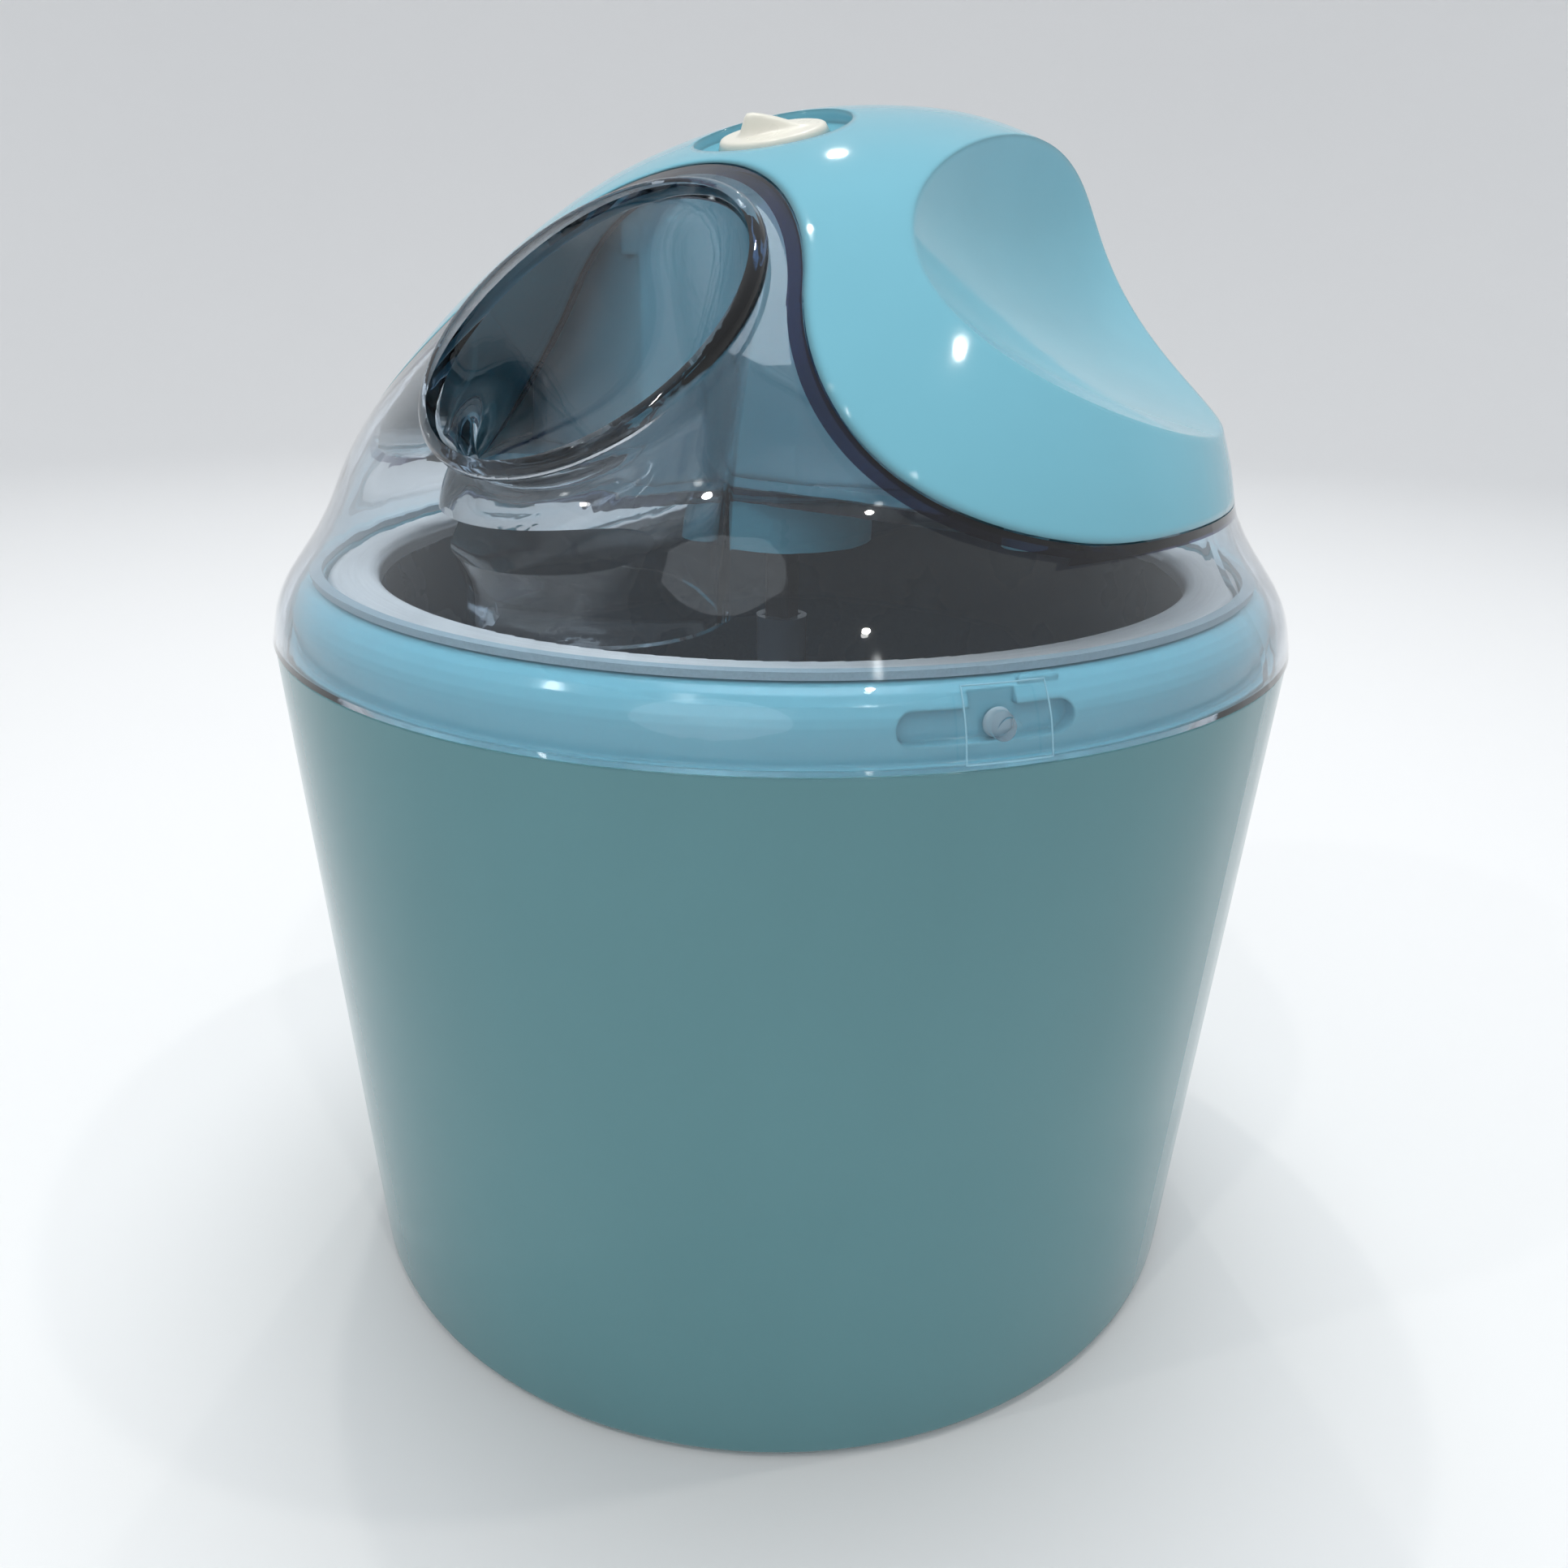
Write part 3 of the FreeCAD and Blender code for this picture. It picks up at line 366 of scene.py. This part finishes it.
looks = {
    "outer_bucket": moulded("Bucket aqua painted shade", AQUA_BUCKET_SHADED, 0.12, edge=0.0008, Specular_IOR_Level=0.3),
    "collar_ring": moulded("Collar gloss aqua", AQUA_COLLAR, 0.12, edge=0.0008),
    "rubber_feet": rubber("Feet rubber", linear(60, 60, 63)),
    "bowl_rim": turned_metal(
        "Rim satin aluminium", linear(238, 240, 242), 0.36, True, 1800.0, metallic=0.4
    ),
    "bowl_inner": dark_coat(),
    "bowl_outer": moulded("Bowl skin", linear(205, 208, 212), 0.4),
    "bowl_plug": rubber("Filler plug", linear(70, 72, 75)),
    "bowl_gasket": rubber("Bowl gasket", linear(80, 82, 86)),
    "coolant_gel": cooling_gel(),
    "lid_seal": rubber("Lid seal", linear(150, 170, 180), 0.5),
    "lid_shell": clear_plastic(
        "Lid smoked clear", linear(251, 253, 254), linear(128, 174, 204), 50.0, linear(246, 249, 251),
        # painted shade: dark indigo band along the lid's split with the motor cover
        edge_shade_colour=linear(34, 33, 66),
    ),
    "paddle": moulded("Paddle smoke", linear(70, 82, 92), 0.22),
    "motor_cover": moulded("Cover gloss aqua", AQUA, 0.07, edge=0.0022),
    "motor_base": moulded("Base aqua", linear(104, 176, 196), 0.3),
    "output_bush": turned_metal("Sintered bronze", linear(176, 138, 92), 0.45),
    "cover_screws": turned_metal("Cover screws", linear(186, 188, 192), 0.3),
    "gear_plate": turned_metal("Gear plate", linear(178, 181, 186), 0.35),
    "plate_screws": turned_metal("Plate screws", linear(190, 190, 186), 0.3),
    "idler_axle": turned_metal("Idler axle", linear(200, 202, 205), 0.2),
    "motor_can": turned_metal("Motor can", linear(160, 164, 168), 0.33),
    "motor_bushes": turned_metal("Motor bushes", linear(182, 140, 90), 0.4),
    "pole_ring": turned_metal("Pole ring", linear(130, 132, 136), 0.45),
    "stator_coil": winding(),
    "terminal_block": moulded("Terminal block", linear(225, 222, 210), 0.45),
    "cord_gland": rubber("Cord gland", linear(52, 54, 57)),
    "switch_body": moulded("Switch body", linear(40, 41, 44), 0.5),
    "output_shaft": moulded("Output shaft", linear(44, 46, 50), 0.35),
    "output_gear": moulded("Output gear", linear(230, 229, 220), 0.42),
    "idler_gear": moulded("Idler gear", linear(226, 228, 222), 0.42),
    "rotor_shaft": turned_metal("Rotor shaft", linear(205, 206, 208), 0.2),
    "rotor_core": rubber("Rotor magnet", linear(58, 57, 60), 0.5),
    "rotor_pinion": moulded("Rotor pinion", linear(222, 220, 208), 0.42),
    "knob": moulded("Knob cream", linear(228, 225, 212), 0.28, 0.02, edge=0.0007),
    "switch_shaft": turned_metal("Switch shaft", linear(190, 192, 196), 0.3),
}
for name, material in looks.items():
    mesh = nodes[name].data
    mesh.materials.clear()
    mesh.materials.append(material)


# ---------------------------------------------------------------- geometry helpers
def outward(azimuth):
    """Level direction at an azimuth in degrees from the front towards +X."""
    a = math.radians(azimuth)
    return Vector((math.sin(a), -math.cos(a), 0.0))


def placed(name, data):
    """New object of the scene."""
    obj = bpy.data.objects.new(name, data)
    bpy.context.scene.collection.objects.link(obj)
    return obj


# ---------------------------------------------------------------- lid details
def lens(name, azimuth, reach, height, radius, bulge):
    """Flattened ball that faces outwards, at a distance from the axis."""
    mesh = bpy.data.meshes.new(name)
    shape = bmesh.new()
    bmesh.ops.create_uvsphere(shape, u_segments=40, v_segments=24, radius=radius)
    bmesh.ops.scale(shape, vec=(1.0, 1.0, bulge / radius), verts=shape.verts)
    facing = outward(azimuth)
    turn = facing.to_track_quat("Z", "Y").to_matrix().to_4x4()
    shape.transform(Matrix.Translation(facing * reach + Vector((0, 0, SEAM + height))) @ turn)
    shape.to_mesh(mesh)
    shape.free()
    mesh.shade_smooth()
    return placed(name, mesh)


def lid_surface(azimuth, height):
    """Point on the outside of the lid, at an azimuth from -Y towards +X and a height over the seam."""
    facing = outward(azimuth)
    start = facing * RAY_START_R + Vector((0, 0, SEAM + height))
    return nodes["lid_shell"].ray_cast(start, -facing)[1]


def mould_line(name, middle):
    """Fine raised line round the moulding insert of one peg."""
    left, right = middle - INSERT_HALF_TURN, middle + INSERT_HALF_TURN
    steps = [i / 12 for i in range(12)]
    path = [(left + (right - left) * t, INSERT_LOW_H) for t in steps]
    path += [(right, INSERT_LOW_H + (INSERT_HIGH_H - INSERT_LOW_H) * t) for t in steps]
    path += [(right + (left - right) * t, INSERT_HIGH_H) for t in steps]
    path += [(left, INSERT_HIGH_H + (INSERT_LOW_H - INSERT_HIGH_H) * t) for t in steps]
    curve = bpy.data.curves.new(name, "CURVE")
    curve.dimensions = "3D"
    curve.bevel_depth = LINE_R
    curve.bevel_resolution = 3
    spline = curve.splines.new("POLY")
    spline.points.add(len(path) - 1)
    for point, (azimuth, height) in zip(spline.points, path):
        point.co = (*lid_surface(azimuth, height), 1.0)
    spline.use_cyclic_u = True
    return placed(name, curve)


lens_look = moulded("Lens clear", linear(210, 232, 240), 0.05, 0.02, Transmission_Weight=0.5, IOR=1.49)
line_look = moulded("Mould line", linear(140, 186, 204), 0.15, 0.05)
for turn in range(PEG_COUNT):
    azimuth = PEG_AZIMUTH + 360.0 / PEG_COUNT * turn
    number = str(turn + 1)
    bead = lens("peg_lens_" + number, azimuth, PEG_LENS_REACH, PEG_LENS_H, PEG_LENS_R, PEG_LENS_BULGE)
    line = mould_line("mould_line_" + number, azimuth)
    for piece, look in ((bead, lens_look), (line, line_look)):
        piece.data.materials.append(look)
        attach(piece, "lid")


# ---------------------------------------------------------------- knob with a flared fin and a rounded rim
def fin_rise(along, aside):
    """Height of the fin over the knob's top, at a place along its ridge and a distance from it."""
    rise = 0.0
    for (x0, h0), (x1, h1) in zip(FIN_RIDGE, FIN_RIDGE[1:]):
        if x0 <= along < x1:
            rise = h0 + (h1 - h0) * (along - x0) / (x1 - x0)
    return rise / (1 + (aside / FIN_HALF) ** 6)


def knob_mesh(name):
    """Turned outline from the top's middle round to the bore, with the fin standing on the top."""
    turned = [(KNOB_FLAT_R * i / TOP_RINGS, KNOB_TOP) for i in range(1, TOP_RINGS + 1)]
    turned += KNOB_RIM
    turned += [(KNOB_R, KNOB_LOW), (SHAFT_R, KNOB_LOW), (SHAFT_R, KNOB_LOW + SHAFT_DEPTH)]
    verts = [(0.0, 0.0, KNOB_TOP + fin_rise(0.0, 0.0)), (0.0, 0.0, KNOB_LOW + SHAFT_DEPTH)]
    for r, z in turned:
        for k in range(KNOB_SIDES):
            a = 2 * math.pi * k / KNOB_SIDES
            along, aside = r * math.cos(a), r * math.sin(a)
            rise = fin_rise(along, aside) if z == KNOB_TOP else 0.0
            verts.append((along, aside, z + rise))
    faces = []
    last = 2 + (len(turned) - 1) * KNOB_SIDES
    for k in range(KNOB_SIDES):
        n = (k + 1) % KNOB_SIDES
        faces.append((0, 2 + k, 2 + n))
        faces.append((1, last + n, last + k))
        for low in range(2, last, KNOB_SIDES):
            faces.append((low + n, low + k, low + KNOB_SIDES + k, low + KNOB_SIDES + n))
    mesh = bpy.data.meshes.new(name)
    mesh.from_pydata(verts, [], faces)
    mesh.transform(Matrix.Translation(KNOB_MID) @ Matrix.Rotation(KNOB_TILT, 4, "X")
                   @ Matrix.Rotation(FIN_TURN, 4, "Z"))
    mesh.shade_smooth()
    return placed(name, mesh)


flared_knob = knob_mesh("flared_knob")
flared_knob.data.materials.append(looks["knob"])
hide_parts("knob")
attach(flared_knob, "knob")


# ---------------------------------------------------------------- room, lights and camera
COVE_RADIUS = 1.6
COVE_BEND = 0.8
COVE_HEIGHT = 2.4


def stage_look(name, colour):
    look = Look(name, 0.75)
    look.colours(look.noise(3.0, 3.0), shade(colour, 0.985), colour)
    return look.material


def cove(radius, bend, height, steps=24, turns=96):
    """Floor that turns up into a round wall, as one surface."""
    outline = [(0.0, 0.0)]
    for i in range(steps + 1):
        angle = math.pi / 2 * i / steps
        outline.append((radius + bend * math.sin(angle), bend - bend * math.cos(angle)))
    outline.append((radius + bend, height))
    verts = []
    faces = []
    for r, z in outline:
        for k in range(turns):
            a = 2 * math.pi * k / turns
            verts.append((r * math.cos(a), r * math.sin(a), z))
    for i in range(len(outline) - 1):
        for k in range(turns):
            n = (k + 1) % turns
            faces.append((i * turns + k, i * turns + n, (i + 1) * turns + n, (i + 1) * turns + k))
    mesh = bpy.data.meshes.new("Cove")
    mesh.from_pydata(verts, [], faces)
    mesh.shade_smooth()
    mesh.materials.append(stage_look("Stage paper", linear(243, 243, 243)))
    return placed("Cove", mesh)


cove(COVE_RADIUS, COVE_BEND, COVE_HEIGHT)


def lamp(name, place, target, size, power, colour):
    light = bpy.data.lights.new(name, "AREA")
    light.shape = "DISK"
    light.size = size
    light.energy = power
    light.color = colour
    obj = placed(name, light)
    obj.location = place
    obj.rotation_euler = (Vector(target) - Vector(place)).to_track_quat("-Z", "Y").to_euler()
    return obj


def ceiling_place(azimuth, elevation, height):
    """Point of the ceiling seen from the part at an azimuth from -Y towards +X and an elevation."""
    reach = height / math.tan(math.radians(elevation))
    return outward(azimuth) * reach + Vector((0, 0, height + SEAM))


WARM = (1.0, 0.96, 0.9)
COOL = (0.93, 0.97, 1.0)
overhead = lamp("Overhead", (-0.2, 0.35, 1.7), (0, 0, 0.15), 1.1, 12.5, COOL)
overhead.visible_glossy = False
front_fill = lamp("Front fill", ceiling_place(20, 30, 0.8), (0, 0, 0.12), 0.9, 2.4, COOL)
front_fill.visible_glossy = False
DOWNLIGHT_HEIGHT = 1.3
DOWNLIGHTS = ((5, 58), (59, 50), (-28, 46), (121, 66), (-119, 70), (-145, 48))
for number, (azimuth, elevation) in enumerate(DOWNLIGHTS):
    place = ceiling_place(azimuth, elevation, DOWNLIGHT_HEIGHT)
    lamp("Downlight " + str(number + 1), place, (0, 0, 0.15), 0.045, 1.5, WARM)

world = bpy.data.worlds.new("Studio")
world.use_nodes = True
world.node_tree.nodes["Background"].inputs["Color"].default_value = (0.9, 0.94, 1.0, 1.0)
world.node_tree.nodes["Background"].inputs["Strength"].default_value = 0.52
bpy.context.scene.world = world
bpy.context.scene.view_settings.view_transform = "Standard"

camera = bpy.data.cameras.new("Camera")
camera.lens = FOCAL_LENGTH
camera.sensor_width = 36.0
camera.shift_x, camera.shift_y = SHIFT
camera.clip_start = 0.01
camera_object = placed("Camera", camera)
camera_object.location = CAMERA_PLACE
aim = (Vector(CAMERA_TARGET) - Vector(CAMERA_PLACE)).to_track_quat("-Z", "Y").to_matrix()
camera_object.rotation_euler = (aim @ Matrix.Rotation(math.radians(CAMERA_ROLL), 3, "Z")).to_euler()
bpy.context.scene.camera = camera_object
